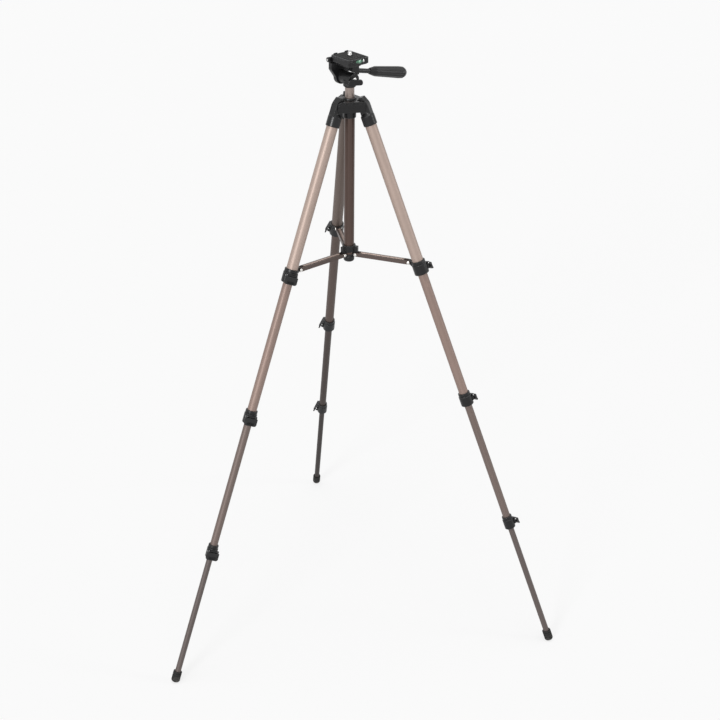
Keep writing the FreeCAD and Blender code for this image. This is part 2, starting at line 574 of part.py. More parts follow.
def platform():
    half_x, near = PLATFORM_WIDE / 2, -PLATFORM_LONG / 2
    far = FLIP_Y - FLIP_R - FREE_GAP
    body = round_block(half_x, (far - near) / 2, CORNER_R, PLATFORM_Z, PLATE_Z)
    body.translate(Vector(0, (far + near) / 2, 0))
    x0, x1 = FLIP_SPLITS
    knuckle = join(
        flip_rod(FLIP_R, x0, x1 - FREE_GAP),
        box(x0, x1 - FREE_GAP, far - 1, FLIP_Y, FLIP_Z - 1, FLIP_Z + FLIP_R),
    )
    vial_z = (PLATFORM_Z + PLATE_Z) / 2
    window_half = VIAL_LENGTH / 2 + 0.6
    window = box(
        VIAL_SHIFT - window_half, VIAL_SHIFT + window_half, near - 1, near + 2 * VIAL_R + 0.6,
        vial_z - VIAL_R - HELD_GAP, vial_z + VIAL_R + HELD_GAP,
    )
    well = disc(SCREW_HEAD_R + FREE_GAP, PLATE_Z - SCREW_HEAD - 2 * TURN_GAP, PLATE_Z + 1)
    pin = flip_rod(FLIP_PIN_R + HELD_GAP, FLIP_START, FLIP_END)
    return join(body, knuckle).cut(window).cut(well).cut(pin)


def camera_plate():
    slab = round_block(PLATFORM_WIDE / 2, PLATFORM_LONG / 2, CORNER_R, PLATE_Z, PLATE_TOP)
    slab = slab.makeChamfer(0.7, [e for e in slab.Edges if e.BoundBox.ZMin > PLATE_TOP - 0.1])
    seat = round_block(
        PLATFORM_WIDE / 2 - PAD_MARGIN + HELD_GAP, PLATFORM_LONG / 2 - PAD_MARGIN + HELD_GAP, CORNER_R - 1,
        PLATE_TOP + PAD_PROUD - PAD_THICK, PLATE_TOP + 1,
    )
    return slab.cut(seat).cut(disc(SCREW_R + TURN_GAP, PLATE_Z - 1, PLATE_TOP + 1))


def plate_pad():
    """The ribbed rubber pad a camera rests on."""
    half_x, half_y = PLATFORM_WIDE / 2 - PAD_MARGIN, PLATFORM_LONG / 2 - PAD_MARGIN
    top = PLATE_TOP + PAD_PROUD
    pad = round_block(half_x, half_y, CORNER_R - 1, top - PAD_THICK + HELD_GAP, top)
    grooves = 9
    for k in range(grooves):
        y = (k - (grooves - 1) / 2) * 2 * half_y / (grooves + 0.5)
        pad = pad.cut(box(-half_x + 2, half_x - 2, y - 0.5, y + 0.5, top - 0.4, top + 1))
    return pad.cut(disc(SCREW_R + 1.2, top - PAD_THICK - 1, top + 1))


def camera_screw():
    """A captive quarter-inch stud on a round head that turns in the platform."""
    head = disc(SCREW_HEAD_R, PLATE_Z - SCREW_HEAD - TURN_GAP, PLATE_Z - TURN_GAP)
    seat = PLATE_TOP + PAD_PROUD
    shank = disc(SCREW_SHANK_R, PLATE_Z - 1, seat + 1)
    thread = disc(SCREW_R, seat + 0.2, seat + SCREW_STANDS)
    tip = max((e for e in thread.Edges if hasattr(e.Curve, "Radius")), key=lambda e: e.CenterOfMass.z)
    return join(head, shank, thread.makeChamfer(0.7, [tip]))


def vial_line(x, y_from_face):
    return Vector(VIAL_SHIFT + x, -PLATFORM_LONG / 2 + y_from_face, (PLATFORM_Z + PLATE_Z) / 2)


def bubble_vial():
    half = VIAL_LENGTH / 2
    return rod(VIAL_R, vial_line(-half, VIAL_R + 0.4), vial_line(half, VIAL_R + 0.4))


def handle_shaft():
    """The stub in the bracket's boss, and the shaft whose square end just clears the boss."""
    stub = rod(STUB_R, handle_point(0.3 - STUB_LENGTH), handle_point(2))
    clear = FREE_GAP - SHAFT_R * HANDLE_WAY.z
    return join(stub, rod(SHAFT_R, handle_point(clear), handle_point(SHAFT_LENGTH + SHAFT_IN_GRIP)))


def handle_grip():
    """A fluted grip that swells towards its round end."""
    grip = turned([
        (SHAFT_R + 1.2, 0), (GRIP_NECK_R + 1.3, 11.0), (GRIP_R, GRIP_LENGTH - 14),
        (GRIP_R - 0.3, GRIP_LENGTH - 6), (GRIP_R - 2.6, GRIP_LENGTH - 1.4), (GRIP_R - 4.8, GRIP_LENGTH),
        (0, GRIP_LENGTH), (0, 0),
    ])
    for k in range(GRIP_FLUTES):
        a = 360.0 * k / GRIP_FLUTES
        start, end = polar(GRIP_NECK_R + 2.6, a, 9.0), polar(GRIP_R + 1.2, a, GRIP_LENGTH - 9)
        flute = join(rod(FLUTE_R, start, end), Part.makeSphere(FLUTE_R, start), Part.makeSphere(FLUTE_R, end))
        grip = grip.cut(flute)
    grip = grip.cut(disc(SHAFT_R + HELD_GAP, -1, SHAFT_IN_GRIP + 0.3))
    return at(grip, Placement(handle_point(SHAFT_LENGTH), Rotation(Z, HANDLE_WAY)))


# ---- placing and writing ----
def leg_place(azimuth):
    lean = Placement(Vector(HINGE_R, 0, PIN_Z), Rotation(Y, -LEG_ANGLE))
    return turn(azimuth).multiply(lean)


def collar_place(azimuth, k):
    along = Placement(Vector(0, 0, -COLLARS[k]), Rotation(Z, LEVER_TURN))
    return leg_place(azimuth).multiply(along)


def all_nodes():
    nodes = {
        "shoulder": [shoulder()],
        "leg_hinge_pins": [at(hinge_pin(), turn(a)) for a in LEG_AZIMUTHS.values()],
        "guide_tube": [guide_tube()],
        "end_plug": [end_plug()],
        "spreader_hub": [spreader_hub()],
        "hub_rivets": [at(rivet(HUB_PIVOT_R, BRACE_Z), turn(a)) for a in LEG_AZIMUTHS.values()],
        "column_tube": [column_tube()],
        "head_base": [head_base()],
    }
    head_parts = [pan_body, pan_lock_knob, tilt_bracket, tilt_bolt, flip_pin, platform, camera_plate,
                  plate_pad, camera_screw, bubble_vial, handle_shaft, handle_grip]
    for make in head_parts:
        nodes[make.__name__] = [at(make(), turn(HEAD_TURN))]
    collars, levers = [collar(k) for k in range(3)], [lever(k) for k in range(3)]
    tubes, cap, sole = [leg_tube(k) for k in range(4)], leg_cap(), foot()
    for side, azimuth in LEG_AZIMUTHS.items():
        place = leg_place(azimuth)
        nodes["leg_cap_" + side] = [at(cap, place)]
        nodes["brace_" + side] = [at(brace(), turn(azimuth))]
        for k, section in enumerate(tubes):
            nodes[f"leg_tube_{k + 1}_{side}"] = [at(section, place)]
        for k in range(3):
            here = collar_place(azimuth, k)
            nodes[f"collar_{k + 1}_{side}"] = [at(collars[k], here)]
            nodes[f"lever_{k + 1}_{side}"] = [at(piece, here) for piece in levers[k]]
        first = nodes["collar_1_" + side]
        lug = at(brace_lug(), place).cut(at(disc(TUBES[0] + HELD_GAP, -LEG_LENGTH, 0), place))
        first[0] = join(first[0], lug)
        first.append(at(rivet(BRACE_R, BRACE_Z), turn(azimuth)))
        nodes["foot_" + side] = [at(sole, place)]
    return nodes


NODES = all_nodes()
FEET = Part.makeCompound([s for side in LEG_AZIMUTHS for s in NODES["foot_" + side]]).optimalBoundingBox()
SHIFT = Vector(-(FEET.XMin + FEET.XMax) / 2, -(FEET.YMin + FEET.YMax) / 2, -FEET.ZMin)

if __name__ == "__main__":
    os.makedirs("parts", exist_ok=True)
    for name, solids in NODES.items():
        shape = solids[0] if len(solids) == 1 else Part.makeCompound(solids)
        shape = shape.copy()
        shape.translate(SHIFT)
        shape.exportStep(f"parts/{name}.step")
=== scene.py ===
import json
import math

import bmesh
import bpy
from mathutils import Matrix, Vector

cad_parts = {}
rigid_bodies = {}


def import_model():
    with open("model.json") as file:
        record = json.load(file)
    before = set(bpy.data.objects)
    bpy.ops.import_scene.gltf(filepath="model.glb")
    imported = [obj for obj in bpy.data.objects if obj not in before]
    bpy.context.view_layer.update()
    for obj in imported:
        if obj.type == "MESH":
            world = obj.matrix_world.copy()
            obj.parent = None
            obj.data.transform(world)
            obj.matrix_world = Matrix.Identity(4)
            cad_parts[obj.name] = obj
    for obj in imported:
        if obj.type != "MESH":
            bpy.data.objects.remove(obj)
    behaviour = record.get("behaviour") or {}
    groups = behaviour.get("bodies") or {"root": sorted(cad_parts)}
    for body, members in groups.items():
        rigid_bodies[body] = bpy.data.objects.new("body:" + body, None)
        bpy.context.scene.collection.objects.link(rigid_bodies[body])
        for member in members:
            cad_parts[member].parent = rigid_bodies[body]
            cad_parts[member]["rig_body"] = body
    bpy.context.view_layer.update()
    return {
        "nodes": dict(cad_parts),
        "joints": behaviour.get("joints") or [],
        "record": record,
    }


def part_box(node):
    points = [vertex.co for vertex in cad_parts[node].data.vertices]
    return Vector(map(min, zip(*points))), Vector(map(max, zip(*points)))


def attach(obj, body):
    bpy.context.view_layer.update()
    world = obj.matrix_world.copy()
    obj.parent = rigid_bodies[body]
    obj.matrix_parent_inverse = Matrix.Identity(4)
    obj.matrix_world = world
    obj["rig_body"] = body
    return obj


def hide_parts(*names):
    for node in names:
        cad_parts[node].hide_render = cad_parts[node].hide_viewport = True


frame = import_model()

# A light folding tripod: finishes for every part, and the small fittings that the solids leave plain.
# Metres, +Z up. Places come from the frame: its boxes, joints and mounts.

SIDES = ("left", "right", "rear")
UP = Vector((0, 0, 1))
JOINTS = {joint["name"]: joint for joint in frame["joints"]}
MOUNTS = {mount["name"]: mount for mount in frame["record"]["mounts"]}
MM = 0.001


# ---- places ----
def pivot(joint):
    return Vector(JOINTS[joint]["pos_m"])


def way(joint):
    return Vector(JOINTS[joint]["axis"]).normalized()


def middle(node):
    low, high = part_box(node)
    return (low + high) / 2


def stand(origin, up, out):
    """A place whose Z is up, and whose X is as near to out as it can be."""
    z = Vector(up).normalized()
    x = (Vector(out) - z * z.dot(Vector(out))).normalized()
    turned = Matrix((x, z.cross(x), z)).transposed().to_4x4()
    return Matrix.Translation(origin) @ turned


def seen_from(place, node):
    """A node's lowest and highest corners in a place's own directions."""
    back = place.inverted()
    points = [back @ vertex.co for vertex in frame["nodes"][node].data.vertices]
    return [Vector([pick(point[axis] for point in points) for axis in range(3)]) for pick in (min, max)]


def beside(place, x, y, z):
    return place @ Matrix.Translation((x, y, z))


COLUMN = middle("guide_tube")
AXIS = Vector((COLUMN.x, COLUMN.y, 0))
LEG_UP = {side: way(f"section_2_slide_{side}") for side in SIDES}
LEG_OUT = {side: ((middle("foot_" + side) - COLUMN) * Vector((1, 1, 0))).normalized() for side in SIDES}
LEG = {side: stand(middle("leg_tube_1_" + side), LEG_UP[side], LEG_OUT[side]) for side in SIDES}
HEAD = stand(AXIS, UP, -way("platform_flip"))  # X towards the handle, Y towards the arm
HEAD_X, HEAD_Y = HEAD.col[0].to_3d(), HEAD.col[1].to_3d()


# ---- finishes ----
class Value:
    """A value in a material. Arithmetic on it adds Math nodes."""

    def __init__(self, finish, socket):
        self.finish, self.socket = finish, socket

    def math(self, operation, first, second):
        return self.finish.node("ShaderNodeMath", {"operation": operation}, {0: first, 1: second})

    def __add__(self, other):
        return self.math("ADD", self, other)

    def __radd__(self, other):
        return self.math("ADD", other, self)

    def __mul__(self, other):
        return self.math("MULTIPLY", self, other)

    def __rmul__(self, other):
        return self.math("MULTIPLY", other, self)


class Finish:
    """A material, with one shader that its patterns feed."""

    def __init__(self, name, uniform):
        self.material = bpy.data.materials.new(name)
        self.material.use_nodes = True
        self.tree = self.material.node_tree
        self.shader = self.tree.nodes["Principled BSDF"]
        self.fill(self.shader, uniform)

    def fill(self, node, sockets):
        for key, value in sockets.items():
            if isinstance(value, Value):
                self.tree.links.new(value.socket, node.inputs[key])
            else:
                node.inputs[key].default_value = value

    def node(self, kind, settings, sockets, output=0):
        made = self.tree.nodes.new(kind)
        for key, value in settings.items():
            setattr(made, key, value)
        self.fill(made, sockets)
        return Value(self, made.outputs[output])

    def paint(self, **sockets):
        names = {key.replace("_", " "): value for key, value in sockets.items()}
        self.fill(self.shader, names)
        return self.material

    def places(self, frame_of=None):
        """Object coordinates, counted from a place on the part if one is given."""
        at = self.node("ShaderNodeTexCoord", {}, {}, "Object")
        if frame_of is None:
            return at
        origin, turned, _ = frame_of.inverted().decompose()
        sockets = {"Vector": at, "Location": origin, "Rotation": turned.to_euler()}
        return self.node("ShaderNodeMapping", {}, sockets)

    def stretch(self, at, scales):
        return self.node("ShaderNodeVectorMath", {"operation": "MULTIPLY"}, {0: at, 1: scales})

    def noise(self, at, scale, detail=2.0, roughness=0.5):
        sockets = {"Vector": at, "Scale": scale, "Detail": detail, "Roughness": roughness}
        return self.node("ShaderNodeTexNoise", {}, sockets)

    def span(self, value, low, high, start=0.0, end=1.0):
        """The value's stretch from low to high, laid over start to end."""
        sockets = {"Value": value, "From Min": low, "From Max": high, "To Min": start, "To Max": end}
        return self.node("ShaderNodeMapRange", {}, sockets)

    def mix(self, factor, first, second):
        sockets = {0: factor, 6: first, 7: second}
        return self.node("ShaderNodeMix", {"data_type": "RGBA"}, sockets, 2)

    def wear_and_highlight(self):
        """One on the rounded edges of a moulding, and nought elsewhere: where the edge is painted paler,
        partly as wear and partly as a painted highlight.
        """
        return self.node("ShaderNodeAttribute", {"attribute_name": "worn_and_highlit_edge"}, {}, "Fac")

    def relief(self, height, depth, strength):
        return self.node("ShaderNodeBump", {}, {"Height": height, "Distance": depth, "Strength": strength})


PLASTIC_GLOSS = 0.3                            # how strongly the mouldings shine
RUBBED_AND_HIGHLIT = (0.15, 0.15, 0.155, 1.0)              # a moulding's rounded edge colour: partly rubbing wear, partly a painted highlight along the edge
DUST = (0.16, 0.15, 0.14, 1.0)


def shade(colour, by):
    return (colour[0] * by, colour[1] * by, colour[2] * by, 1.0)


def anodised(name, colour, place, rough=0.46, metallic=0.36):
    """Drawn, anodised aluminium: fine lines along the tube, uneven dye and a few handling scuffs."""
    finish = Finish(name, {"Metallic": metallic})
    at = finish.places(place)
    lines = finish.noise(finish.stretch(at, (1500.0, 1500.0, 7.0)), 1.0, 3.0)
    patches = finish.noise(finish.stretch(at, (60.0, 60.0, 14.0)), 1.0, 3.0)
    scuffs = finish.span(finish.noise(finish.stretch(at, (260.0, 260.0, 55.0)), 1.0, 5.0, 0.65), 0.63, 0.74)
    dye = finish.mix(lines * 0.6 + patches * 0.4, shade(colour, 0.82), shade(colour, 1.2))
    base = finish.mix(scuffs * 0.35, dye, shade(colour, 1.7))
    roughness = finish.span(lines, 0.3, 0.7, rough - 0.05, rough + 0.06) + patches * 0.06 + scuffs * 0.1
    relief = finish.relief(lines + scuffs * 0.4, 0.00003, 0.5)
    return finish.paint(Base_Color=base, Roughness=roughness, Normal=relief)


def moulded(name, colour, rough, grain=1.0, wear_and_highlight=0.75):
    """Moulded plastic: a fine grain, hand marks, and edges painted paler, partly as rubbing wear and partly
    as a painted highlight.
    """
    finish = Finish(name, {"Specular IOR Level": PLASTIC_GLOSS})
    at = finish.places()
    pores = finish.noise(at, 2600.0, 2.0)
    flow = finish.noise(at, 55.0, 4.0, 0.6)
    rubs_and_highlights = finish.span(finish.noise(at, 420.0, 4.0, 0.7), 0.42, 0.62)
    # the rounded edges are painted paler: partly rubbing wear, partly a painted highlight
    edge = finish.wear_and_highlight() * rubs_and_highlights * wear_and_highlight
    base = finish.mix(flow, shade(colour, 0.7), shade(colour, 1.35))
    base = finish.mix(edge, base, RUBBED_AND_HIGHLIT)
    roughness = finish.span(flow, 0.3, 0.7, rough - 0.05, rough + 0.08) + pores * 0.05 + edge * 0.12
    relief = finish.relief(pores + flow * 0.3, 0.00004, 0.3 * grain)
    return finish.paint(Base_Color=base, Roughness=roughness, Normal=relief)


def rubber(name, colour, dusty):
    """Matt rubber, with dust that gathers low down on what stands on the ground."""
    finish = Finish(name, {"Specular IOR Level": 0.25})
    at = finish.places()
    height = finish.node("ShaderNodeSeparateXYZ", {}, {"Vector": at}, "Z")
    pores = finish.noise(at, 1900.0, 3.0, 0.6)
    blotches = finish.noise(at, 160.0, 4.0, 0.6)
    low = finish.span(height, 0.0, 0.016, 1.0, 0.0)
    dust = finish.span(blotches, 0.4, 0.7) * (low * dusty + 0.06)
    clean_rubber = finish.mix(pores, shade(colour, 0.7), shade(colour, 1.35))
    base = finish.mix(dust, clean_rubber, DUST)
    roughness = 0.6 + blotches * 0.2 + dust * 0.15
    relief = finish.relief(pores + blotches * 0.4, 0.00006, 0.5)
    return finish.paint(Base_Color=base, Roughness=roughness, Normal=relief)


def plated(name, colour, rough):
    """Bright plated steel: turning marks, small scratches and a little tarnish."""
    finish = Finish(name, {"Metallic": 1.0})
    at = finish.places()
    turning = finish.noise(finish.stretch(at, (400.0, 400.0, 5200.0)), 1.0, 2.0)
    tarnish = finish.noise(at, 700.0, 4.0, 0.6)
    base = finish.mix(tarnish, shade(colour, 0.78), shade(colour, 1.08))
    roughness = rough + turning * 0.12 + finish.span(tarnish, 0.5, 0.8, 0.0, 0.12)
    relief = finish.relief(turning, 0.00002, 0.4)
    return finish.paint(Base_Color=base, Roughness=roughness, Normal=relief)


def liquid(name, dark, pale):
    """A tinted liquid in a clear sleeve, a shade paler where the light pools."""
    finish = Finish(name, {"Coat Weight": 1.0, "Coat Roughness": 0.03, "Specular IOR Level": 0.6})
    at = finish.places()
    pool = finish.noise(at, 190.0, 2.0)
    specks = finish.noise(at, 1500.0, 2.0)
    base = finish.mix(finish.span(pool, 0.35, 0.65), dark, pale)
    return finish.paint(Base_Color=base, Roughness=0.06 + specks * 0.08)


CHAMPAGNE = (0.37, 0.285, 0.245)
MID_BRONZE = (0.25, 0.178, 0.152)
DARK_BRONZE = (0.15, 0.113, 0.1)
LOW_BRONZE = (0.105, 0.084, 0.078)
DEEP_BRONZE = (0.085, 0.055, 0.046)
# the brace and its rib are one bronze in two copies: the brace darkened as painted shade, the rib lighter as
# a painted highlight
BRACE_SHADED_BRONZE = (0.085, 0.062, 0.054)
RIB_HIGHLIGHT_BRONZE = (0.36, 0.275, 0.235)
STEM_BRONZE = (0.29, 0.235, 0.21)
SECTIONS = (CHAMPAGNE, MID_BRONZE, DARK_BRONZE, LOW_BRONZE)
REAR_PAINTED_SHADE = 0.33                                # the rear leg's tubes painted darker than the front ones: painted shade, on the same metal

BLACK = moulded("moulded_black", (0.0085, 0.0085, 0.009), 0.28)
SATIN = moulded("moulded_satin", (0.014, 0.014, 0.0145), 0.4)
GRIP = moulded("grip_black", (0.0085, 0.0085, 0.009), 0.27, grain=0.5, wear_and_highlight=0.3)
PAINTED = moulded("shaft_black", (0.01, 0.01, 0.0105), 0.2, grain=0.4)
SOLE = rubber("foot_rubber", (0.012, 0.012, 0.0115), 0.7)
PAD = rubber("pad_rubber", (0.014, 0.014, 0.014), 0.0)
STEEL = plated("plated_steel", (0.74, 0.74, 0.73), 0.16)
RIVET = plated("rivet_steel", (0.82, 0.81, 0.78), 0.2)
VIAL = liquid("vial_green", (0.008, 0.1, 0.045, 1.0), (0.03, 0.26, 0.12, 1.0))
BUBBLE = liquid("vial_bubble", (0.3, 0.55, 0.4, 1.0), (0.55, 0.8, 0.66, 1.0))
PALE_CAP = plated("vial_cap", (0.86, 0.86, 0.85), 0.3)


# ---- making pieces ----
def shown(name, mesh, body):
    """A mesh on show, riding on its body."""
    made = bpy.data.objects.new(name, mesh)
    bpy.context.scene.collection.objects.link(made)
    even = made.modifiers.new("even_shading", "WEIGHTED_NORMAL")
    even.keep_sharp = True
    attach(made, body)
    return made


def piece(name, bm, material, body, sharp=38.0):
    mesh = bpy.data.meshes.new(name)
    bm.to_mesh(mesh)
    bm.free()
    mesh.materials.append(material)
    mesh.shade_smooth()
    mesh.set_sharp_from_angle(angle=math.radians(sharp))
    return shown(name, mesh, body)


def clean(bm):
    bmesh.ops.remove_doubles(bm, verts=bm.verts, dist=1e-6)
    bmesh.ops.recalc_face_normals(bm, faces=bm.faces)
    return bm


def placed(bm, place):
    bm.transform(place)
    return bm


def lathe(outline, steps=40):
    """An outline of (radius, height) points, from the axis and back to it, turned about Z."""
    bm = bmesh.new()
    verts = [bm.verts.new((r, 0, z)) for r, z in outline]
    edges = [bm.edges.new(pair) for pair in zip(verts, verts[1:])]
    bmesh.ops.spin(
        bm, geom=verts + edges, cent=(0, 0, 0), axis=(0, 0, 1), dvec=(0, 0, 0),
        angle=math.tau, steps=steps, use_merge=True, use_duplicate=False,
    )
    return clean(bm)


def rounded(bm, edges, width, segments=2):
    return bmesh.ops.bevel(
        bm, geom=edges, offset=width, offset_type="OFFSET", affect="EDGES",
        segments=segments, profile=0.5, material=-1, clamp_overlap=True,
    )


def add_block(bm, place, size, round_by):
    """A block about a place, with every edge rounded."""
    scaled = place @ Matrix.Diagonal((*size, 1.0))
    corners = bmesh.ops.create_cube(bm, size=1.0, matrix=scaled)["verts"]
    rounded(bm, list({edge for corner in corners for edge in corner.link_edges}), round_by)


def button(radius, height, socket=0.0):
    """The outline of a low domed head, with a round socket in it if one is given."""
    dome = [
        (0, 0), (radius, 0), (radius, 0.35 * height), (0.93 * radius, 0.66 * height),
        (0.72 * radius, 0.87 * height), (max(0.4 * radius, 1.15 * socket), 0.97 * height),
    ]
    if socket:
        return dome + [(socket, 0.9 * height), (socket, 0.35 * height), (0, 0.3 * height)]
    return dome + [(0, height)]


def stadium(length, height, thick, round_by):
    """A flat bar with round ends, lying in XY and rising from it along Z."""
    bm = bmesh.new()
    ring = bmesh.ops.create_circle(bm, cap_ends=True, radius=height / 2, segments=48)["verts"]
    for sign in (-1, 1):
        end = [v for v in ring if sign * v.co.x > 1e-7]
        bmesh.ops.translate(bm, verts=end, vec=(sign * (length - height) / 2, 0, 0))
    grown = bmesh.ops.extrude_face_region(bm, geom=list(bm.faces))["geom"]
    bmesh.ops.translate(bm, verts=[g for g in grown if isinstance(g, bmesh.types.BMVert)], vec=(0, 0, thick))
    bmesh.ops.recalc_face_normals(bm, faces=bm.faces)
    rim = [e for e in bm.edges if all(v.co.z > thick / 2 for v in e.verts)]
    rounded(bm, rim, round_by, 3)
    return bm


def merged(node):
    bm = bmesh.new()
    bm.from_mesh(frame["nodes"][node].data)
    bmesh.ops.remove_doubles(bm, verts=bm.verts, dist=3e-6)
    return bm


def spread(group):
    return sum(max(v.co[axis] for v in group) - min(v.co[axis] for v in group) for axis in range(3))


def split_off(bm):
    """Leaves the largest of the separate solids in bm, and gives the others back."""
    left, groups = set(bm.verts), []
    while left:
        group, edge_of = set(), [left.pop()]
        while edge_of:
            vert = edge_of.pop()
            group.add(vert)
            near = {e.other_vert(vert) for e in vert.link_edges} & left
            left -= near
            edge_of += near
        groups.append(group)
    groups.sort(key=spread)
    rest = bm.copy()
    main = {vert.index for vert in groups[-1]} if len(groups) > 1 else set()
    bmesh.ops.delete(rest, geom=[v for v in rest.verts if v.index in main], context="VERTS")
    bmesh.ops.delete(bm, geom=[v for group in groups[:-1] for v in group], context="VERTS")
    return rest if len(groups) > 1 else None


def mark_worn_and_highlit(mesh, flat, full):
    """Notes how far each point stands out from its neighbours, for the paler edge colour that is partly wear
    and partly a painted highlight.
    """
    bm = bmesh.new()
    bm.from_mesh(mesh)
    wear_and_highlight = bm.verts.layers.float.new("worn_and_highlit_edge")
    for vert in bm.verts:
        near = [edge.other_vert(vert).co for edge in vert.link_edges]
        stands = (vert.co - sum(near, Vector()) / len(near)).dot(vert.normal)
        vert[wear_and_highlight] = min(max((stands - flat) / (full - flat), 0.0), 1.0)
    bm.to_mesh(mesh)
    bm.free()


def remould(node, material, grid, passes, metal=None):
    """The node's own shape as an even skin with round corners, in place of the node."""
    bm = merged(node)
    bm.verts.index_update()
    rest = split_off(bm)
    body = frame["nodes"][node]["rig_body"]
    rough = bpy.data.meshes.new("rough_" + node)
    bm.to_mesh(rough)
    bm.free()
    held = bpy.data.objects.new("rough_" + node, rough)
    bpy.context.scene.collection.objects.link(held)
    skin = held.modifiers.new("even_skin", "REMESH")
    skin.mode, skin.voxel_size, skin.adaptivity = "VOXEL", grid, 0.0
    ease = held.modifiers.new("round_corners", "SMOOTH")
    ease.factor, ease.iterations = 0.5, passes
    ready = held.evaluated_get(bpy.context.evaluated_depsgraph_get())
    mesh = bpy.data.meshes.new_from_object(ready)
    mesh.name = node + "_moulding"
    bpy.data.objects.remove(held)
    bpy.data.meshes.remove(rough)
    mark_worn_and_highlit(mesh, 0.05 * grid, 0.16 * grid)
    mesh.materials.clear()
    mesh.materials.append(material)
    mesh.shade_smooth()
    made = shown(node + "_moulding", mesh, body)
    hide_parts(node)
    if rest:
        piece(node + "_pin", rest, metal, body)


CORNER_ANGLE = math.radians(32.0)              # a bend sharper than this is a corner
FLAT_ANGLE = math.radians(0.8)                 # and one under this is no bend


def soften(node, material, width):
    """The node's own shape with its corners rounded, in place of the node.

    The rounded strips are marked for the paler edge colour, partly wear and partly a painted highlight.
    """
    bm = merged(node)
    bm.verts.index_update()
    rest = split_off(bm)
    body = frame["nodes"][node]["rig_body"]
    bmesh.ops.dissolve_limit(bm, angle_limit=FLAT_ANGLE, verts=bm.verts, edges=bm.edges)
    wear_and_highlight = bm.loops.layers.float.new("worn_and_highlit_edge")
    corners = [e for e in bm.edges if e.is_manifold and e.calc_face_angle(0.0) > CORNER_ANGLE]
    for face in rounded(bm, corners, width)["faces"]:
        for loop in face.loops:
            loop[wear_and_highlight] = 1.0
    made = piece(node + "_moulding", bm, material, body, 50.0)
    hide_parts(node)
    if rest:
        piece(node + "_pin", rest, STEEL, body)


# ---- the solids that stay, with their finishes ----
def dress(node, material):
    for slot in frame["nodes"][node].material_slots:
        slot.material = material


for side in SIDES:
    for k, colour in enumerate(SECTIONS, 1):
        # the rear leg gets a darker copy of each section's colour as painted shade
        tinted = shade(colour, REAR_PAINTED_SHADE if side == "rear" else 1.0)
        dress(f"leg_tube_{k}_{side}", anodised(f"leg_{k}_{side}", tinted, LEG[side]))
    dress("foot_" + side, SOLE)
upright = Matrix.Translation(COLUMN)
dress("guide_tube", anodised("guide_tube", DEEP_BRONZE, upright, 0.3, 0.6))
dress("column_tube", anodised("column_tube", STEM_BRONZE, upright, 0.3, 0.5))
for node in ("leg_hinge_pins", "flip_pin", "tilt_bolt"):
    dress(node, STEEL)
dress("hub_rivets", RIVET)
dress("plate_pad", PAD)
dress("handle_shaft", PAINTED)

# ---- mouldings ----
REMOULDED = {
    "shoulder": (BLACK, 0.58, 7), "spreader_hub": (BLACK, 0.45, 3), "pan_body": (BLACK, 0.45, 6),
    "pan_lock_knob": (BLACK, 0.35, 6), "tilt_bracket": (BLACK, 0.5, 7), "platform": (BLACK, 0.45, 3),
    "handle_grip": (GRIP, 0.5, 4),
}
for side in SIDES:
    REMOULDED["leg_cap_" + side] = (BLACK, 0.45, 8)
    for k in (1, 2, 3):
        REMOULDED[f"collar_{k}_{side}"] = (BLACK, 0.4, 4)
        soften(f"lever_{k}_{side}", SATIN, 0.45 * MM)
for node, (material, grid, passes) in REMOULDED.items():
    remould(node, material, grid * MM, passes, RIVET)
for node, width in {"end_plug": 0.3, "head_base": 0.4, "camera_plate": 0.25}.items():
    soften(node, SATIN, width * MM)


# ---- shoulder: raised faces over the hinge pins' ends ----
PIN_Z = middle("leg_hinge_pins").z
FACE_LENGTH, FACE_HEIGHT = 43.0 * MM, 13.4 * MM
FACE_THICK, FACE_STEP, STEP_HEIGHT = 0.6 * MM, 0.5 * MM, 5.4 * MM

for side in SIDES:
    away = -LEG_OUT[side]                      # the face opposite this leg
    level = stand(AXIS + UP * PIN_Z, away, UP.cross(away))
    stands = seen_from(level, "shoulder")[1].z
    face = beside(level, 0, 0, stands - 0.1 * MM)
    whole = stadium(FACE_LENGTH, FACE_HEIGHT, FACE_THICK, 0.4 * MM)
    piece("shoulder_face_" + side, placed(whole, face), BLACK, "root")
    upper = stadium(FACE_LENGTH - 5.0 * MM, STEP_HEIGHT, FACE_THICK + FACE_STEP, 0.35 * MM)
    step = beside(face, 0, STEP_HEIGHT / 2, 0)
    piece("shoulder_step_" + side, placed(upper, step), BLACK, "root")


# ---- braces: a rib pressed along each ----
for side in SIDES:
    body = "brace_" + side
    lying = stand(middle(body), UP, LEG_OUT[side])
    tinted = anodised(body, BRACE_SHADED_BRONZE, lying @ Matrix.Rotation(math.radians(90), 4, "Y"), 0.34)
    dress(body, tinted)
    low, high = seen_from(lying, body)
    rib = stadium(high.x - low.x - 22 * MM, 3.4 * MM, 0.9 * MM, 0.6 * MM)
    # the rib's lighter bronze is a painted highlight along the brace
    rib_highlight = anodised(body + "_rib", RIB_HIGHLIGHT_BRONZE, lying @ Matrix.Rotation(math.radians(90), 4, "Y"), 0.34)
    piece("brace_rib_" + side, placed(rib, beside(lying, 0, 0, high.z - 0.1 * MM)), rib_highlight, body)

# ---- clamp levers: finger ribs ----
for side in SIDES:
    for k in (1, 2, 3):
        node = f"lever_{k}_{side}"
        turn = f"lever_{k}_turn_{side}"
        flap = stand(pivot(turn), LEG_UP[side], way(turn))
        low, high = seen_from(flap, node)
        outward = 1 if high.y > -low.y else -1
        stands = (high.y if outward > 0 else low.y) - outward * 0.55 * MM
        ribs = bmesh.new()
        for step in range(3):
            spot = beside(flap, 0, stands, low.z + (1.7 + 1.5 * step) * MM)
            lean = Matrix.Rotation(math.radians(outward * -24), 4, "X")
            add_block(ribs, spot @ lean, (11.0 * MM, 1.3 * MM, 0.6 * MM), 0.2 * MM)
        piece(f"lever_ribs_{k}_{side}", ribs, SATIN, frame["nodes"][node]["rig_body"])

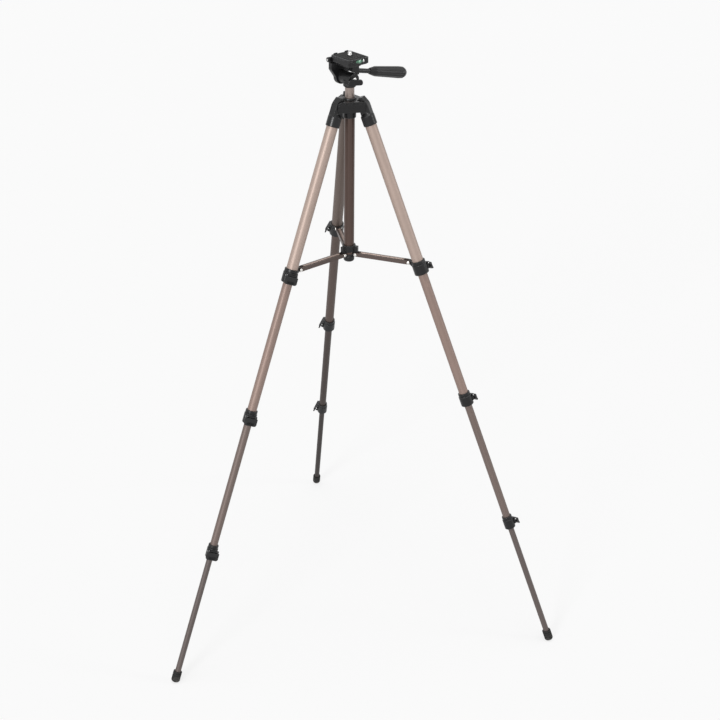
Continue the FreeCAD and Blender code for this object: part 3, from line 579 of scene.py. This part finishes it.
# ---- camera stud: its thread ----
SEAT_Z = MOUNTS["camera_seat"]["pos_m"][2]
STUD_R = MOUNTS["camera_stud"]["dims"]["r_mm"] * MM
PITCH = 1.27 * MM                              # twenty threads to the inch
stud_low, stud_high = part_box("camera_screw")
rim = (stud_high.x - stud_low.x) / 2
under, start, top = 2.2 * MM, SEAT_Z + 0.2 * MM - stud_low.z, stud_high.z - stud_low.z
outline = [
    (0, 0), (rim - 0.4 * MM, 0), (rim, 0.4 * MM), (rim, under - 0.4 * MM), (rim - 0.4 * MM, under),
    (0.85 * STUD_R, under), (0.85 * STUD_R, start),
]
for turn in range(int((top - start - 0.6 * MM) / PITCH)):
    foot = start + turn * PITCH
    outline += [
        (STUD_R, foot + 0.4 * PITCH), (STUD_R, foot + 0.55 * PITCH), (0.84 * STUD_R, foot + 0.95 * PITCH),
    ]
outline += [(STUD_R, top - 0.75 * MM), (STUD_R, top - 0.55 * MM), (0.78 * STUD_R, top), (0, top)]
threaded = placed(lathe(outline, 48), Matrix.Translation((AXIS.x, AXIS.y, stud_low.z)))
stud = piece("camera_stud", threaded, STEEL, "screw", 30.0)
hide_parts("camera_screw")

# ---- bubble vial: a lens of green liquid in an oval bezel, with its bubble, two marks and a bright end ----
low, high = seen_from(HEAD, "camera_plate")
under = seen_from(HEAD, "platform")[0].z
vial_low, vial_high = seen_from(HEAD, "bubble_vial")
LENS = Vector((7.4, 1.1, 2.75)) * MM           # half its length, its bulge and half its height
BEZEL_LENGTH, BEZEL_HEIGHT, BEZEL_THICK = 30.0 * MM, 9.0 * MM, 0.5 * MM
LENS_RISE = 1.4 * MM                           # the lens above the middle of the bezel
LENS_SHIFT = -2.4                              # and along it, in millimetres
shift = (vial_low.x + vial_high.x) / 2 - 2.6 * MM
window = stand(HEAD @ Vector((shift, low.y, (under + high.z) / 2)), -HEAD_Y, HEAD_X)


def oval(size, place):
    bm = bmesh.new()
    bmesh.ops.create_uvsphere(bm, u_segments=36, v_segments=20, radius=1.0)
    bmesh.ops.scale(bm, verts=bm.verts, vec=size)
    return placed(bm, place)


bezel = stadium(BEZEL_LENGTH, BEZEL_HEIGHT, BEZEL_THICK, 0.3 * MM)
piece("vial_bezel", placed(bezel, window), BLACK, "platform")
lens = oval((LENS.x, LENS.z, LENS.y), beside(window, LENS_SHIFT * MM, LENS_RISE, 0.2 * MM))
glass = piece("vial_glass", lens, VIAL, "platform")
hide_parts("bubble_vial")
bubble = oval((2.6 * MM, 0.9 * MM, 0.35 * MM), beside(window, -3.0 * MM, LENS_RISE + 0.7 * MM, 1.05 * MM))
piece("vial_bubble", bubble, BUBBLE, "platform")
end = oval((1.0 * MM, 2.5 * MM, 1.2 * MM), beside(window, LENS.x - 1.6 * MM, LENS_RISE, 0.2 * MM))
piece("vial_end", end, PALE_CAP, "platform")
marks = bmesh.new()
for side_of in (-1, 1):
    spot = beside(window, (side_of * 3.6 + LENS_SHIFT) * MM, LENS_RISE, 0.95 * MM)
    add_block(marks, spot, (0.35 * MM, 4.4 * MM, 0.5 * MM), 0.1 * MM)
piece("vial_marks", marks, SATIN, "platform")

# ---- platform: two stops at the plate's back edge ----
low, high = seen_from(HEAD, "camera_plate")
stops = bmesh.new()
for shift in (-0.28, 0.28):
    along = (low.x + high.x) / 2 + shift * (high.x - low.x)
    spot = beside(HEAD, along, high.y - 1.3 * MM, high.z + 0.5 * MM)
    add_block(stops, spot, (7.0 * MM, 1.5 * MM, 2.2 * MM), 0.4 * MM)
piece("plate_stops", stops, BLACK, "platform")

# ---- the tilt bolt's head, and a cover over its far end ----
low, high = seen_from(HEAD, "tilt_bolt")
line = (low + high) / 2
ARM_FACE = high.y + 2.2 * MM
near = stand(HEAD @ Vector((line.x, low.y, line.z)), -HEAD_Y, UP)
bolt_face = lathe(button(3.4 * MM, 0.7 * MM, 1.5 * MM))
piece("tilt_bolt_face", placed(bolt_face, near), STEEL, "tilt_head")
far = stand(HEAD @ Vector((line.x, ARM_FACE - 0.2 * MM, line.z)), HEAD_Y, UP)
cover = button(7.2 * MM, 1.8 * MM)
piece("tilt_cover", placed(lathe(cover), far), SATIN, "tilt_head")

# ---- studio ----
FLOOR_GLOW = 0.76                              # how much of the floor the camera sees as plain white
AMBIENT = 0.28
LENS_LENGTH, SENSOR_WIDTH = 68.85, 36.0        # the lens, in millimetres
LENS_SHIFT_X, LENS_SHIFT_Y = 0.0158, -0.041
STATION = (-0.3568, -2.1181, 1.5823)
LOOKING = (0.155, 0.879, -0.451)
ROLL = math.radians(0.26)


def background_rays(finish):
    """One where the camera, a reflection or a clear part looks at the background."""
    camera = finish.node("ShaderNodeLightPath", {}, {}, "Is Camera Ray")
    paths = camera.socket.node.outputs
    seen = camera + Value(finish, paths["Is Glossy Ray"]) + Value(finish, paths["Is Transmission Ray"])
    return seen.math("MINIMUM", seen, 1.0)


def studio_floor():
    bm = bmesh.new()
    bmesh.ops.create_circle(bm, cap_ends=True, radius=30.0, segments=64)
    mesh = bpy.data.meshes.new("floor")
    bm.to_mesh(mesh)
    bm.free()
    floor = bpy.data.objects.new("floor", mesh)
    bpy.context.scene.collection.objects.link(floor)
    finish = Finish("floor_white", {"Roughness": 0.9, "Specular IOR Level": 0.1})
    mottle = finish.noise(finish.places(), 1.4, 3.0)
    finish.paint(Base_Color=finish.mix(mottle, (0.86, 0.86, 0.86, 1), (0.88, 0.88, 0.88, 1)))
    glow = finish.node("ShaderNodeEmission", {}, {"Color": (1, 1, 1, 1), "Strength": 1.0})
    blend = finish.node("ShaderNodeMixShader", {}, {0: background_rays(finish) * FLOOR_GLOW})
    finish.tree.links.new(finish.shader.outputs[0], blend.socket.node.inputs[1])
    finish.tree.links.new(glow.socket, blend.socket.node.inputs[2])
    finish.tree.links.new(blend.socket, finish.tree.nodes["Material Output"].inputs["Surface"])
    mesh.materials.append(finish.material)


def sun(name, strength, softness, towards):
    lamp = bpy.data.lights.new(name, "SUN")
    lamp.energy, lamp.angle = strength, math.radians(softness)
    made = bpy.data.objects.new(name, lamp)
    made.rotation_euler = Vector(towards).to_track_quat("-Z", "Y").to_euler()
    bpy.context.scene.collection.objects.link(made)


def studio_world():
    world = bpy.data.worlds.new("studio")
    world.use_nodes = True
    bpy.context.scene.world = world
    tree = world.node_tree
    light = tree.nodes["Background"]
    light.inputs["Color"].default_value = (1, 1, 1, 1)
    light.inputs["Strength"].default_value = AMBIENT
    white = tree.nodes.new("ShaderNodeBackground")
    white.inputs["Color"].default_value = (1, 1, 1, 1)
    blend = tree.nodes.new("ShaderNodeMixShader")
    path = tree.nodes.new("ShaderNodeLightPath")
    seen = path.outputs["Is Camera Ray"]
    for kind in ("Is Glossy Ray", "Is Transmission Ray"):
        either = tree.nodes.new("ShaderNodeMath")
        either.operation = "MAXIMUM"
        tree.links.new(seen, either.inputs[0])
        tree.links.new(path.outputs[kind], either.inputs[1])
        seen = either.outputs[0]
    tree.links.new(seen, blend.inputs[0])
    tree.links.new(light.outputs[0], blend.inputs[1])
    tree.links.new(white.outputs[0], blend.inputs[2])
    tree.links.new(blend.outputs[0], tree.nodes["World Output"].inputs["Surface"])


def camera():
    lens = bpy.data.cameras.new("camera")
    lens.lens, lens.sensor_width = LENS_LENGTH, SENSOR_WIDTH
    lens.shift_x, lens.shift_y = LENS_SHIFT_X, LENS_SHIFT_Y
    view = Vector(LOOKING).normalized()
    right = view.cross(UP).normalized()
    turned = Matrix((right, right.cross(view), -view)).transposed().to_4x4()
    made = bpy.data.objects.new("camera", lens)
    made.matrix_world = Matrix.Translation(STATION) @ turned @ Matrix.Rotation(ROLL, 4, "Z")
    bpy.context.scene.collection.objects.link(made)
    bpy.context.scene.camera = made


studio_floor()
studio_world()
sun("key", 1.9, 16.0, (0.60, 0.75, -0.30))
sun("side", 0.55, 12.0, (-0.93, 0.30, -0.30))
sun("top", 1.35, 45.0, (0.05, 0.1, -1.0))
camera()
bpy.context.scene.view_settings.view_transform = "Standard"
